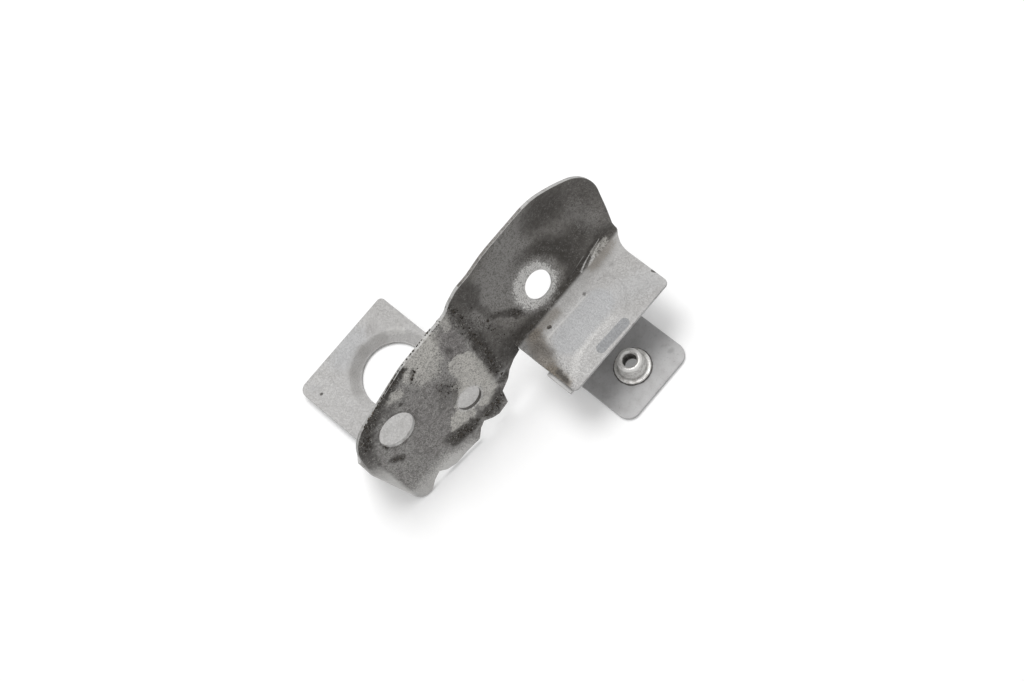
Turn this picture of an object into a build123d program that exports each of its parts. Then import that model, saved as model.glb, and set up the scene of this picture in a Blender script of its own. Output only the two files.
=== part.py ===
from build123d import *
from math import asin, cos, radians, sin, tan
import os

# Body bracket pressed from sheet: a leaning strap with a dished upper half, a flange folded
# out of its foot, and an end wall that turns into a floor tab. A channel-shaped foot plate
# is spot welded under the flange, and carries a weld nut.
# Millimetres. X runs across the strap, Y along it, Z up. While the pieces are made, Y = 0
# and X = 0 lie near the middle of the flange's inner end; the last step moves everything to
# the middle of the base.

# ---- Sheet ----
SHEET = 1.2
BEND_IN = 2.0  # inside radius of the flange and foot plate bends
BEND_OUT = BEND_IN + SHEET

# ---- Strap wall ----
WALL_LEAN = 17.0  # lean of the wall away from upright, degrees
WALL_FOOT = 2.5  # height up the wall where it joins the flange's fold
FOLD_X = 9.3  # sharp corner of the wall's face and the flange's top
FLANGE_Z = 19.0  # height of the flange's top face
WALL_TOP = 34.9  # height of the dished half, measured up the wall from the fold
FAR_SHOULDER = 27.0  # where the top edge starts down, along Y
FAR_SHOULDER_R = 16.0
FAR_CORNER_R = 11.0  # round corner of the dished half
FAR_END_TOP = 46.9  # reach of the far end's corner, along Y
FAR_CORNER_TOP = 23.8  # height of that corner, up the wall
FAR_END_FOOT = 42.6  # reach of the far end just above the fold
JOG_AT = -8.5  # the two halves of the wall meet here
JOG_RUN = 2.2
JOG_STEP = 0.6  # the lower half stands this far proud
JOG_R = 3.0
TURN = 5.3  # the near half is bent back by this much, degrees
NEAR_TOP_START = 32.0  # height of the near half's top edge at the jog, up the wall
NEAR_TOP_END = 21.0  # height of the corner of the near end
NEAR_END = -55.4  # reach of the near end at that corner, along Y
NEAR_END_BASE = -57.6  # its reach where its edge turns onto the end wall
NEAR_TOP_KNEE = -30.0  # the near half's top edge drops faster from here
NEAR_TOP_MID = 29.6  # its height there
NEAR_TOP_KNEE_R = 20.0
NEAR_END_FOOT = 2.0  # height of that turn
NEAR_CORNER_R = 12.0
JOG_RISE = 4.2  # half the length over which the top edge climbs at the jog
JOG_EDGE_R = 6.0

# ---- Dish in the far half ----
DISH_DEPTH = 3.2
DISH_HALF = 17.0  # half width of the dish, up the wall
DISH_MID = 21.0  # height of its middle line, up the wall
DISH_NEAR = 11.4  # where its round near end is centred, along Y
DISH_FAR = 31.0  # where its round far end is centred
DISH_RIM_R = 8.0  # radius that eases the wall's face into the dish
DISH_R = (DISH_HALF**2 + DISH_DEPTH**2) / (2 * DISH_DEPTH)  # its radius across

# ---- Flange ----
FLANGE_X = 32.6  # outer edge
FLANGE_NEAR = -2.4
FLANGE_FAR = 39.0
FLANGE_CORNER_R = 1.6
PANEL_DEPTH = 0.45  # the middle of the flange is pressed down by this, onto the foot plate
PANEL_SLOPE = 62.0  # slope of its sides away from upright, degrees
PANEL_IN = 15.2  # its edge beside the strap
PANEL_OUT = 25.6  # its outer edge at the far end
PANEL_FLARE = 3.0  # its outer edge is this much further out at the flange's near end
PANEL_RUN_OUT = 5.0  # its sides carry on this far past the flange's near end
PANEL_FAR = 31.0
PANEL_FLAT = 1.4  # straight stretch of its far edge, between two round corners
PANEL_CORNER_R = (PANEL_OUT - PANEL_IN - PANEL_FLAT) / 2
END_NOTCH_X = 7.5  # the flange's far end is cut back from here outwards
END_NOTCH_R = 10.0  # inside radius of that cut

# ---- End wall and floor tab ----
END_Y = -54.0  # outer face of the end wall at ground level
END_LEAN = 10.1  # the end wall leans outward by this much, degrees
END_FOOT_X = -14.0  # where the end wall runs out on the tab
END_TOP_X = 1.0  # where it runs out at the strap
END_TOP_Z = 27.0
CORNER_OUT = 3.6  # outside radius of the bend between strap and end wall
CORNER_IN = CORNER_OUT - SHEET
TAB_Z = 2.0  # underside of the tab
TAB_X = -41.0
TAB_ROOT_X = 6.5  # the tab's fold ends here
END_BASE_Z = 0.4  # underside of the torn corner beyond the tab's fold
TAB_NEAR = END_Y + 1.6  # the tab's near edge stands in a little from the end wall's foot
TAB_FAR = -14.6
TAB_NEAR_CORNER_R = 2.8
TAB_FAR_CORNER_R = 1.6

# ---- Holes ----
UPPER_HOLE_R = 4.5
UPPER_HOLE_AT = (14.5, 7.9)  # along Y, and up the wall from the fold
MIDDLE_HOLE_R = 4.0
MIDDLE_HOLE_AT = (-22.6, -0.7)
END_HOLE_R = 5.8
END_HOLE_AT = (-43.2, 12.4)
TAB_HOLE_R = 10.4
TAB_HOLE_AT = (-21.1, -30.2)  # X and Y
TAB_DIMPLE_R = 13.8  # where the dimple round the tab's hole starts
TAB_LIP = 0.3  # width of the flat lip round the tab's hole
DIMPLE_BEND_OUT = 1.8  # radius of the tab's top face where it turns down into the dimple
DIMPLE_BEND_IN = 0.6  # radius of that face where it levels out at the lip

# ---- Foot plate ----
WEB_X = 21.0  # outer face of the web
PAD_X = 31.2  # outer edge of the pad under the flange
PAD_NEAR = -3.5
PAD_FAR = 30.0
FOOT_X = 45.4
FOOT_NEAR = 2.0
FOOT_FAR = 29.3
FOOT_CORNER_R = 4.0
WEB_FAR_KNEE = 0.5  # height where the web's far edge turns, as a share of the pad's height
WEB_FAR_KNEE_R = 2.0
WEB_NEAR_KNEE = 0.6  # and where its near edge turns
WEB_NEAR_KNEE_R = 3.0
WEB_PAD_R = 1.0  # radius where the web's edges meet the pad's
NUT_AT = (34.8, 15.8)
NUT_HOLE_R = 2.75

# ---- Weld nut, M5 ----
NUT_BORE_R = 2.15
NUT_FLANGE_R = 5.5
NUT_FLANGE_T = 0.9
NUT_FOOT_R = 4.2
NUT_TOP_R = 3.8
NUT_H = 6.8
NUT_ROUND = 0.9
NUT_LEAD = 0.6  # chamfer at the mouth of the bore

TEAR_END = -3.0  # height up the wall where the tear meets the flange's near end

# ---- Tools ----
REACH = 90.0  # longer than any part of the bracket
SLICE = 0.01  # faces and edges closer than this count as touching
SEAM_Y = -42.0  # the near half's flat sheet and its bent end are joined inside this stretch
SEAM_LAP = 3.0
IN_FRONT = 6.0  # reach of the wall's trimming tools off its face
BEHIND_TOP = -30.0  # and behind it, above the top edge
BEHIND_TEAR = -5.8  # and behind it, below the tear, where they stay clear of the tab
PUNCH = 7.2  # length of the tools that punch the holes

# Torn lower edge of the near half, from the end wall to the flange: along Y, up the wall.
TEAR = [
    (-50.2, -REACH), (-50.2, -19.6), (-49.0, -18.3), (-46.4, -15.9), (-43.8, -14.6), (-41.8, -16.6),
    (-38.6, -17.8), (-34.0, -17.3), (-28.8, -17.4), (-26.3, -14.2), (-24.3, -12.9),
    (-21.6, -14.9), (-19.6, -15.6), (-15.4, -14.6), (-14.3, -9.2), (-11.2, -7.3),
    (-8.6, -5.6), (-5.6, -3.9),
]

wall = Plane(
    origin=(FOLD_X, 0, FLANGE_Z),
    x_dir=(0, 1, 0),
    z_dir=(cos(radians(WALL_LEAN)), 0, sin(radians(WALL_LEAN))),
)


def near_w(u):
    """Front of the near half, measured off the far half's plane, at the place u along Y."""
    return JOG_STEP + (u - (JOG_AT - JOG_RUN)) * tan(radians(TURN))


def wall_point(u, s, w=0.0):
    """The point u along the wall, s up it and w off it."""
    return wall.from_local_coords(Vector(u, s, w))


near_wall = Plane(
    origin=wall_point(JOG_AT - JOG_RUN, 0, JOG_STEP),
    x_dir=wall.x_dir + wall.z_dir * tan(radians(TURN)),
    z_dir=wall.z_dir - wall.x_dir * tan(radians(TURN)),
)
end_wall = Plane(
    origin=(0, END_Y, 0),
    x_dir=(1, 0, 0),
    z_dir=(0, -cos(radians(END_LEAN)), -sin(radians(END_LEAN))),
)
tab_base = Plane(origin=(0, 0, TAB_Z), x_dir=(1, 0, 0), z_dir=(0, 0, -1))


def outline(*corners):
    """A face from corners given as x, y and the radius of the corner."""
    points = [(x, y) for x, y, radius in corners]
    radii = [radius for x, y, radius in corners]
    return make_face(FilletPolyline(*points, radius=radii, close=True))


def block(x, y, z):
    """A box from its low and high limits on each axis."""
    size = (x[1] - x[0], y[1] - y[0], z[1] - z[0])
    return Pos(x[0], y[0], z[0]) * Box(*size, align=Align.MIN)


def bent_strip(points, radius, side):
    """The section of a sheet whose one face follows the points, with rounded bends."""
    line = FilletPolyline(*points, radius=radius)
    return make_face(offset(line, amount=SHEET, side=side))


def on_wall(face, low, high):
    """A face drawn along the wall and up it, made solid from low to high off the wall."""
    return extrude(wall.offset(low) * face, amount=high - low, dir=wall.z_dir)


# ---- Strap ----
def wall_sheet():
    """Both halves of the wall with the jog between them, before trimming."""
    across = Plane(origin=wall_point(0, -REACH), x_dir=wall.x_dir, z_dir=wall.y_dir)
    section = bent_strip(
        [(REACH, 0), (JOG_AT, 0), (JOG_AT - JOG_RUN, -JOG_STEP), (SEAM_Y, -near_w(SEAM_Y))],
        JOG_R,
        Side.RIGHT,
    )
    return extrude(across * section, amount=2 * REACH)


def edges_between(solid, first, second):
    """The straight edges of a solid that lie in both planes."""
    def in_both(edge):
        ends = [edge @ 0, edge @ 1]
        return all(abs(p.to_local_coords(end).Z) < SLICE for p in (first, second) for end in ends)
    return [edge for edge in solid.edges() if in_both(edge)]


def corner_block(inset, corner_r, foot_r):
    """What the wall's near end, the end wall and the tab enclose, inset by a thickness."""
    solid = block((END_FOOT_X, REACH), (-REACH, SEAM_Y + SEAM_LAP), (END_BASE_Z, REACH))
    strap, end, tab = [face.offset(-inset) for face in (near_wall, end_wall, tab_base)]
    solid = split(solid, bisect_by=strap, keep=Keep.BOTTOM)
    solid = split(solid, bisect_by=end, keep=Keep.BOTTOM)
    if foot_r:
        solid = split(solid, bisect_by=tab, keep=Keep.BOTTOM)
        solid = fillet(edges_between(solid, end, tab), foot_r)
    return fillet(edges_between(solid, strap, end), corner_r)


def end_corner():
    """The bent near end: a stretch of the wall, the end wall and its fold into the tab."""
    folded = corner_block(0, CORNER_OUT, BEND_OUT) - corner_block(SHEET, CORNER_IN, BEND_IN)
    upright = corner_block(0, CORNER_OUT, 0) - corner_block(SHEET, CORNER_IN, 0)
    # The fold into the tab ends at the tab's root, and beyond it the corner runs straight down.
    beside = block((-REACH, TAB_ROOT_X), (-REACH, 0), (0, REACH))
    shell = (folded & beside) + (upright - beside)
    tab_top = TAB_Z + SHEET
    # The end wall's free edge climbs from the tab to the strap and then follows it up.
    edge = [
        (END_FOOT_X, tab_top),
        (END_TOP_X, END_TOP_Z),
        (END_TOP_X - REACH * tan(radians(WALL_LEAN)), END_TOP_Z + REACH),
        (-REACH, END_TOP_Z + REACH),
        (-REACH, tab_top),
    ]
    beyond = Plane(origin=(0, TAB_NEAR, 0), x_dir=(1, 0, 0), z_dir=(0, -1, 0))
    cut = extrude(beyond * make_face(Polyline(*edge, close=True)), amount=REACH)
    return shell - cut


def dish(outward):
    """A long round-ended bowl sunk into the wall's face, or its skin that far outside it."""
    centre_w = DISH_R - DISH_DEPTH
    grown = DISH_R + outward
    length = DISH_FAR - DISH_NEAR
    axis = Plane(origin=wall_point(DISH_NEAR, DISH_MID, centre_w), z_dir=wall.x_dir)
    far = Plane(origin=wall_point(DISH_FAR, DISH_MID, centre_w), z_dir=wall.x_dir)
    return axis * Cylinder(grown, length, align=(Align.CENTER, Align.CENTER, Align.MIN)) + (
        axis * Sphere(grown)
    ) + (far * Sphere(grown))


def rim_edges(solid, w):
    """The edges of the dish's rim on the wall's face, or on its back."""
    face = wall.offset(w)
    reach = DISH_HALF + SHEET

    def on_rim(edge):
        near = all(abs(face.to_local_coords(edge @ t).Z) < SLICE for t in (0, 0.5, 1))
        return near and all(
            DISH_NEAR - reach < (edge @ t).Y < DISH_FAR + reach for t in (0, 0.5, 1)
        )

    return [edge for edge in solid.edges() if on_rim(edge)]


def above_top_edge():
    """What is trimmed off above the wall's top edge and beyond its far end."""
    kept = outline(
        (FAR_END_FOOT, -REACH, 0),
        (FAR_END_FOOT, WALL_FOOT, 0),
        (FAR_END_TOP, FAR_CORNER_TOP, FAR_CORNER_R),
        (FAR_SHOULDER, WALL_TOP, FAR_SHOULDER_R),
        (JOG_AT + JOG_RISE, WALL_TOP, JOG_EDGE_R),
        (JOG_AT - JOG_RISE, NEAR_TOP_START, JOG_EDGE_R),
        (NEAR_TOP_KNEE, NEAR_TOP_MID, NEAR_TOP_KNEE_R),
        (NEAR_END, NEAR_TOP_END, NEAR_CORNER_R),
        (NEAR_END_BASE, NEAR_END_FOOT, 0),
        (-REACH, NEAR_END_FOOT, 0),
        (-REACH, -REACH, 0),
    )
    sheet = Rectangle(3 * REACH, 3 * REACH)
    return on_wall(sheet - kept, BEHIND_TOP, IN_FRONT)


def below_wall():
    """What is trimmed off below the torn edge, and below the flange's fold."""
    points = TEAR + [
        (FLANGE_NEAR, TEAR_END),
        (FLANGE_NEAR, WALL_FOOT),
        (REACH, WALL_FOOT),
        (REACH, -REACH),
    ]
    return on_wall(make_face(Polyline(*points, close=True)), BEHIND_TEAR, IN_FRONT)


def strap():
    """The wall with its dish, trimmed to its outline."""
    solid = wall_sheet()
    behind = on_wall(Rectangle(2 * REACH, 2 * REACH), -REACH, -SLICE)
    solid = solid + (dish(SHEET) & behind) - dish(0)
    solid = fillet(rim_edges(solid, 0), DISH_RIM_R)
    solid = fillet(rim_edges(solid, -SHEET), DISH_RIM_R)
    solid += end_corner()
    solid -= above_top_edge()
    solid -= below_wall()
    return solid


def flange():
    """The flange and its fold, with the lowest stretch of the wall."""
    up = wall_point(0, WALL_FOOT)
    across = Plane(origin=(0, FLANGE_NEAR, 0), x_dir=(1, 0, 0), z_dir=(0, -1, 0))
    section = bent_strip(
        [(up.X, up.Z), (FOLD_X, FLANGE_Z), (FLANGE_X, FLANGE_Z)], BEND_IN, Side.RIGHT
    )
    solid = extrude(across * section, amount=FLANGE_NEAR - FAR_END_FOOT)
    beyond = outline(
        (END_NOTCH_X, FLANGE_FAR, END_NOTCH_R),
        (REACH, FLANGE_FAR, 0),
        (REACH, REACH, 0),
        (END_NOTCH_X, REACH, 0),
    )
    solid -= extrude(beyond, amount=REACH)
    corners = [e for e in solid.edges().filter_by(Axis.Z) if (e @ 0).X > FLANGE_X - SLICE]
    solid = fillet(corners, FLANGE_CORNER_R)
    panel = pressed_panel()
    under = Pos(0, 0, -SHEET) * panel & block((0, REACH), (FLANGE_NEAR, REACH), (0, REACH))
    return solid + under - panel


def pressed_panel():
    """What the pressed middle of the flange takes from its top face."""
    run_out = FLANGE_NEAR - PANEL_RUN_OUT
    edge = outline(
        (PANEL_IN, run_out, 0),
        (PANEL_OUT + PANEL_FLARE, run_out, 0),
        (PANEL_OUT, PANEL_FAR, PANEL_CORNER_R),
        (PANEL_IN, PANEL_FAR, PANEL_CORNER_R),
    )
    return extrude(Pos(0, 0, FLANGE_Z) * edge, amount=-PANEL_DEPTH, taper=PANEL_SLOPE)


def tab():
    """The floor tab with the dimple round its hole."""
    root_y = END_Y + CORNER_OUT
    edge = outline(
        (TAB_X, TAB_NEAR, TAB_NEAR_CORNER_R),
        (END_FOOT_X, TAB_NEAR, 0),
        (END_FOOT_X, root_y, 0),
        (TAB_ROOT_X, root_y, 0),
        (TAB_ROOT_X, TAB_FAR, 0),
        (TAB_X, TAB_FAR, TAB_FAR_CORNER_R),
    )
    solid = extrude(Pos(0, 0, TAB_Z) * edge, amount=SHEET)
    flat_r = TAB_DIMPLE_R + SHEET
    lip_r = TAB_HOLE_R + TAB_LIP
    section = bent_strip(
        [
            (flat_r, TAB_Z + SHEET),
            (TAB_DIMPLE_R, TAB_Z + SHEET),
            (lip_r, SHEET),
            (TAB_HOLE_R, SHEET),
        ],
        [DIMPLE_BEND_OUT, DIMPLE_BEND_IN],
        Side.LEFT,
    )
    hole = Pos(*TAB_HOLE_AT)
    dimple = revolve(Plane.XZ * section, Axis.Z)
    return solid - hole * Cylinder(flat_r, REACH) + hole * dimple


def near_hole(at):
    """Where a hole in the near half is punched, square to the sheet."""
    u, s = at
    return Plane(origin=wall_point(u, s, near_w(u)), x_dir=near_wall.x_dir, z_dir=near_wall.z_dir)


def dish_hole(at):
    """Where a hole in the dish is punched, square to the bowl at that height."""
    u, s = at
    slope = asin((DISH_MID - s) / DISH_R)
    depth = DISH_R * cos(slope) - (DISH_R - DISH_DEPTH)
    square = wall.z_dir * cos(slope) + wall.y_dir * sin(slope)
    return Plane(origin=wall_point(u, s, -depth), x_dir=wall.x_dir, z_dir=square)


holes = {
    "upper": (dish_hole(UPPER_HOLE_AT), UPPER_HOLE_R),
    "middle": (near_hole(MIDDLE_HOLE_AT), MIDDLE_HOLE_R),
    "end": (near_hole(END_HOLE_AT), END_HOLE_R),
}


def bracket():
    """The pressed bracket, all of one sheet."""
    solid = strap() + flange() + tab()
    for place, radius in holes.values():
        solid -= place * Cylinder(radius, PUNCH)
    return solid


def foot_plate():
    """A channel: a pad under the flange, a web down to the floor, and the foot."""
    pad_z = FLANGE_Z - SHEET - PANEL_DEPTH
    across = Plane(origin=(0, 0, 0), x_dir=(1, 0, 0), z_dir=(0, -1, 0))
    section = bent_strip(
        [(PAD_X, pad_z), (WEB_X, pad_z), (WEB_X, 0), (FOOT_X, 0)], BEND_OUT, Side.LEFT
    )
    solid = extrude(across * section, amount=REACH, both=True)
    side = Plane(origin=(0, 0, 0), x_dir=(0, 1, 0), z_dir=(1, 0, 0))
    kept = outline(
        (FOOT_NEAR, -SHEET, 0),
        (FOOT_FAR, -SHEET, 0),
        (FOOT_FAR, pad_z * WEB_FAR_KNEE, WEB_FAR_KNEE_R),
        (PAD_FAR, pad_z - BEND_OUT, WEB_PAD_R),
        (PAD_FAR, pad_z + SHEET, 0),
        (PAD_NEAR, pad_z + SHEET, 0),
        (PAD_NEAR, pad_z - SHEET, WEB_PAD_R),
        (FOOT_NEAR, pad_z * WEB_NEAR_KNEE, WEB_NEAR_KNEE_R),
    )
    solid &= extrude(side * kept, amount=REACH)
    corners = [e for e in solid.edges().filter_by(Axis.Z) if (e @ 0).X > FOOT_X - SLICE]
    solid = fillet(corners, FOOT_CORNER_R)
    return solid - Pos(*NUT_AT) * Cylinder(NUT_HOLE_R, PUNCH)


def weld_nut():
    """A round nut with a thin flange, its thread left as a plain bore."""
    section = outline(
        (NUT_BORE_R, 0, 0),
        (NUT_FLANGE_R, 0, 0),
        (NUT_FLANGE_R, NUT_FLANGE_T, 0),
        (NUT_FOOT_R, NUT_FLANGE_T, 0),
        (NUT_TOP_R, NUT_H, NUT_ROUND),
        (NUT_BORE_R + NUT_LEAD, NUT_H, 0),
        (NUT_BORE_R, NUT_H - NUT_LEAD, 0),
    )
    return Pos(*NUT_AT, SHEET) * revolve(Plane.XZ * section, Axis.Z)


pieces = {"bracket": bracket(), "foot_plate": foot_plate(), "weld_nut": weld_nut()}

# The origin is the middle of the base.
extent = Compound(children=[Compound(solid.solids()) for solid in pieces.values()]).bounding_box()
base = Pos(-extent.center().X, -extent.center().Y, -extent.min.Z)

os.makedirs("parts", exist_ok=True)
for name, solid in pieces.items():
    export_step(base * solid, f"parts/{name}.step")
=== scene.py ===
"""Looks of a torn, dirty pressed-steel bracket: sheet finishes, caked dirt, weld nut and stage."""

import math
import random

import bpy
from bpy.props import FloatProperty, FloatVectorProperty, IntProperty, PointerProperty
from mathutils import Euler, Matrix, Vector
from mathutils.bvhtree import BVHTree


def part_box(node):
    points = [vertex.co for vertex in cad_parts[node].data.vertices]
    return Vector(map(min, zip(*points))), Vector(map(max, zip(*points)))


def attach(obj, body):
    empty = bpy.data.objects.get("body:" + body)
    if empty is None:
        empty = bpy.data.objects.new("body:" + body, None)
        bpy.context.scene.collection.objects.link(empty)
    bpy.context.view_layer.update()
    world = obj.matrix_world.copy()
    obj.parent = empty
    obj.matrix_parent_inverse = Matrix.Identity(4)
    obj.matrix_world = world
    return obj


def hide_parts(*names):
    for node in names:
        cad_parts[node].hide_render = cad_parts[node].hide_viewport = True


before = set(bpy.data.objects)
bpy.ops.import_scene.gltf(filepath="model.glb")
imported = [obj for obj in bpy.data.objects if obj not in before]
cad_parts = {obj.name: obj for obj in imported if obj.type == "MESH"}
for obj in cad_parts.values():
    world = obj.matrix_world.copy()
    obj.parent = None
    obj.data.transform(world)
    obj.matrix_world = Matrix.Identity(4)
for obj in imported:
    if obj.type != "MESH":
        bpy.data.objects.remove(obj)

bl_info = {
    "name": "Pressed bracket dresser",
    "version": (1, 0, 0),
    "blender": (4, 5, 0),
    "location": "3D View > Sidebar > Bracket",
    "description": "Finishes, caked dirt, weld nut and studio stage for a pressed-steel bracket",
    "category": "Object",
}

MM = 0.001

# ---- Working frame ----
# Sizes and places below are millimetres in the press shop's frame: X across the strap, Y along
# it, Z up from the floor, with the origin near the inner end of the flange.
NUT_AT = (34.8, 15.8)
FOLD_X = 9.3  # sharp corner between the strap's face and the flange's top
FLANGE_Z = 19.0
WALL_LEAN = math.radians(17.0)
SHEET = 1.2
JOG_U = -9.6  # middle of the jog between the strap's two halves
UPPER_HOLE = (14.5, 7.9)  # along the strap and up it, from the fold
MIDDLE_HOLE = (-22.6, -0.7)
MIDDLE_HOLE_R = 4.0
END_HOLE = (-43.2, 12.4)
END_HOLE_R = 5.8
NUT_FLANGE_R = 5.5
NUT_FLANGE_T = 0.9
NUT_FOOT_R = 4.2
NUT_TOP_R = 3.8
NUT_H = 6.8
NUT_ROUND = 0.9
NUT_LEAD = 0.6

nut_low, nut_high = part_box("weld_nut")
SHIFT = Vector((
    NUT_AT[0] - (nut_low.x + nut_high.x) / 2 / MM,
    NUT_AT[1] - (nut_low.y + nut_high.y) / 2 / MM,
    0.0,
))
WALL_ORIGIN = Vector((FOLD_X, 0.0, FLANGE_Z))
WALL_UP = Vector((-math.sin(WALL_LEAN), 0.0, math.cos(WALL_LEAN)))
WALL_OUT = Vector((math.cos(WALL_LEAN), 0.0, math.sin(WALL_LEAN)))


def place(x, y, z):
    """A point of the working frame, in the model's metres."""
    return (Vector((x, y, z)) - SHIFT) * MM


def wall_place(u, s, w=0.0):
    """A point u along the strap, s up it and w off its upper face, in the model's metres."""
    return place(*(WALL_ORIGIN + Vector((0.0, u, 0.0)) + WALL_UP * s + WALL_OUT * w))


# ---- Node graphs ----
class Graph:
    """A material's node tree, with one short call for each kind of node it needs."""

    def __init__(self, name):
        self.material = bpy.data.materials.new(name)
        self.material.use_nodes = True
        self.tree = self.material.node_tree
        self.tree.nodes.clear()
        self.output = self.tree.nodes.new("ShaderNodeOutputMaterial")

    def node(self, kind, inputs=(), **settings):
        """A node with its inputs given by name or number, as values or as sockets."""
        made = self.tree.nodes.new(kind)
        for key, value in settings.items():
            setattr(made, key, value)
        for key, value in dict(inputs).items():
            self.feed(made.inputs[key], value)
        return made

    def feed(self, socket, value):
        """Links a socket to an input, or sets the input's own value."""
        if isinstance(value, bpy.types.NodeSocket):
            self.tree.links.new(value, socket)
        else:
            socket.default_value = value

    def math(self, operation, a, b=0.0, c=0.0):
        """The result of a maths node on up to three values."""
        made = self.node("ShaderNodeMath", operation=operation)
        for socket, value in zip(made.inputs, (a, b, c)):
            self.feed(socket, value)
        return made.outputs[0]

    def vector(self, operation, a, b=(0.0, 0.0, 0.0)):
        """The result of a vector maths node, a number where the operation gives one."""
        made = self.node("ShaderNodeVectorMath", operation=operation)
        self.feed(made.inputs[0], a)
        self.feed(made.inputs[1], b)
        return made.outputs["Value" if operation in ("DOT_PRODUCT", "DISTANCE", "LENGTH") else 0]

    def point(self):
        """The surface point in the working frame, in millimetres."""
        own = self.node("ShaderNodeTexCoord").outputs["Object"]
        scaled = self.node("ShaderNodeVectorMath", {0: own}, operation="SCALE")
        scaled.inputs["Scale"].default_value = 1 / MM
        return self.vector("ADD", scaled.outputs[0], tuple(SHIFT))

    def along(self, point, direction, origin=(0.0, 0.0, 0.0)):
        """How far a point is from an origin, measured along a direction."""
        direction = Vector(direction)
        total = self.vector("DOT_PRODUCT", point, tuple(direction))
        return self.math("SUBTRACT", total, direction.dot(Vector(origin)))

    def ramp(self, value, low, high):
        """0 below low and 1 above high, with a smooth step between; high may be under low."""
        made = self.node("ShaderNodeMapRange", interpolation_type="SMOOTHSTEP")
        for key, item in (("Value", value), ("From Min", low), ("From Max", high)):
            self.feed(made.inputs[key], item)
        return made.outputs[0]

    def noise(self, point, size, detail=3.0, rough=0.55):
        """Even noise about 0.5 whose lumps are about the given size."""
        made = self.node("ShaderNodeTexNoise", {
            "Vector": point, "Scale": 1 / size, "Detail": detail, "Roughness": rough,
        })
        return made.outputs[0]

    def cells(self, point, size):
        """Distance to the nearest of many scattered points, about one for each size."""
        made = self.node("ShaderNodeTexVoronoi", {"Vector": point, "Scale": 1 / size})
        return made.outputs["Distance"]

    def blend(self, factor, a, b):
        """Colour a where the factor is 0, and colour b where it is 1."""
        made = self.node("ShaderNodeMix", data_type="RGBA")
        self.feed(made.inputs["Factor"], factor)
        self.feed(made.inputs[6], a if isinstance(a, bpy.types.NodeSocket) else colour(a))
        self.feed(made.inputs[7], b if isinstance(b, bpy.types.NodeSocket) else colour(b))
        return made.outputs[2]

    def both(self, *factors):
        """The factors multiplied together: 1 only where all are 1."""
        total = factors[0]
        for factor in factors[1:]:
            total = self.math("MULTIPLY", total, factor)
        return total

    def either(self, *factors):
        """The largest of the factors: 1 where any is 1."""
        total = factors[0]
        for factor in factors[1:]:
            total = self.math("MAXIMUM", total, factor)
        return total

    def flat(self, a, b):
        """Two lengths as a point of a plane."""
        return self.node("ShaderNodeCombineXYZ", {0: a, 1: b}).outputs[0]

    def shaken(self, point, size, amount):
        """A point moved about by noise, which makes the outlines of marks uneven."""
        made = self.node("ShaderNodeTexNoise", {"Vector": point, "Scale": 1 / size, "Detail": 3.0})
        centred = self.vector("SUBTRACT", made.outputs["Color"], (0.5, 0.5, 0.5))
        return self.vector("ADD", point, self.vector("MULTIPLY", centred, (2 * amount,) * 3))

    def stroke(self, point, start, end, radius, soft, grain=None):
        """1 near the line between two points, fading out over the soft width in grains."""
        start, run = Vector((*start, 0.0)), Vector((*end, 0.0)) - Vector((*start, 0.0))
        flat = self.vector("MULTIPLY", point, (1.0, 1.0, 0.0))
        if run.length:
            across = self.vector("SUBTRACT", flat, tuple(start))
            share = self.vector("DOT_PRODUCT", across, tuple(run / run.length_squared))
            held = self.math("MINIMUM", self.math("MAXIMUM", share, 0.0), 1.0)
            step = self.node("ShaderNodeVectorMath", {0: tuple(run)}, operation="SCALE")
            self.feed(step.inputs["Scale"], held)
            gap = self.vector("DISTANCE", across, step.outputs[0])
        else:
            gap = self.vector("DISTANCE", flat, tuple(start))
        if grain is not None:
            gap = self.math("MULTIPLY_ADD", grain, GRAININESS * soft, gap)
        return self.ramp(gap, radius + soft, radius)

    def marks(self, base, shown, crisp, uneven, grain, rows, looks):
        """Lays a list of marks over a colour, each where shown is 1."""
        for start, end, radius, soft, strength, tint in rows:
            ragged = soft > CRISP
            point, grains = (uneven, grain) if ragged else (crisp, None)
            mask = self.stroke(point, start, end, radius, soft, grains)
            base = self.blend(self.both(mask, strength, shown), base, getattr(looks, tint))
        return base

    def bump(self, height, depth, strength):
        """The surface's normal, roughened by a height."""
        made = self.node("ShaderNodeBump", {"Height": height, "Distance": depth, "Strength": strength})
        return made.outputs[0]

    def finish(self, **inputs):
        """The shader, from its own inputs by name."""
        names = {key.replace("_", " "): value for key, value in inputs.items()}
        made = self.node("ShaderNodeBsdfPrincipled", names)
        self.feed(self.output.inputs["Surface"], made.outputs[0])
        return self.material


def colour(value):
    """A colour with full opacity."""
    return (*value[:3], 1.0)


# ---- User settings ----
def shade(name, description, default):
    """A colour that the user can set."""
    return FloatVectorProperty(
        name=name, description=description, default=default, size=3, min=0.0, max=1.0, subtype="COLOR"
    )


def length(name, description, default):
    """A length that is given in millimetres."""
    return FloatProperty(name=name, description=description, default=default * MM, min=0.0, unit="LENGTH")


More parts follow.
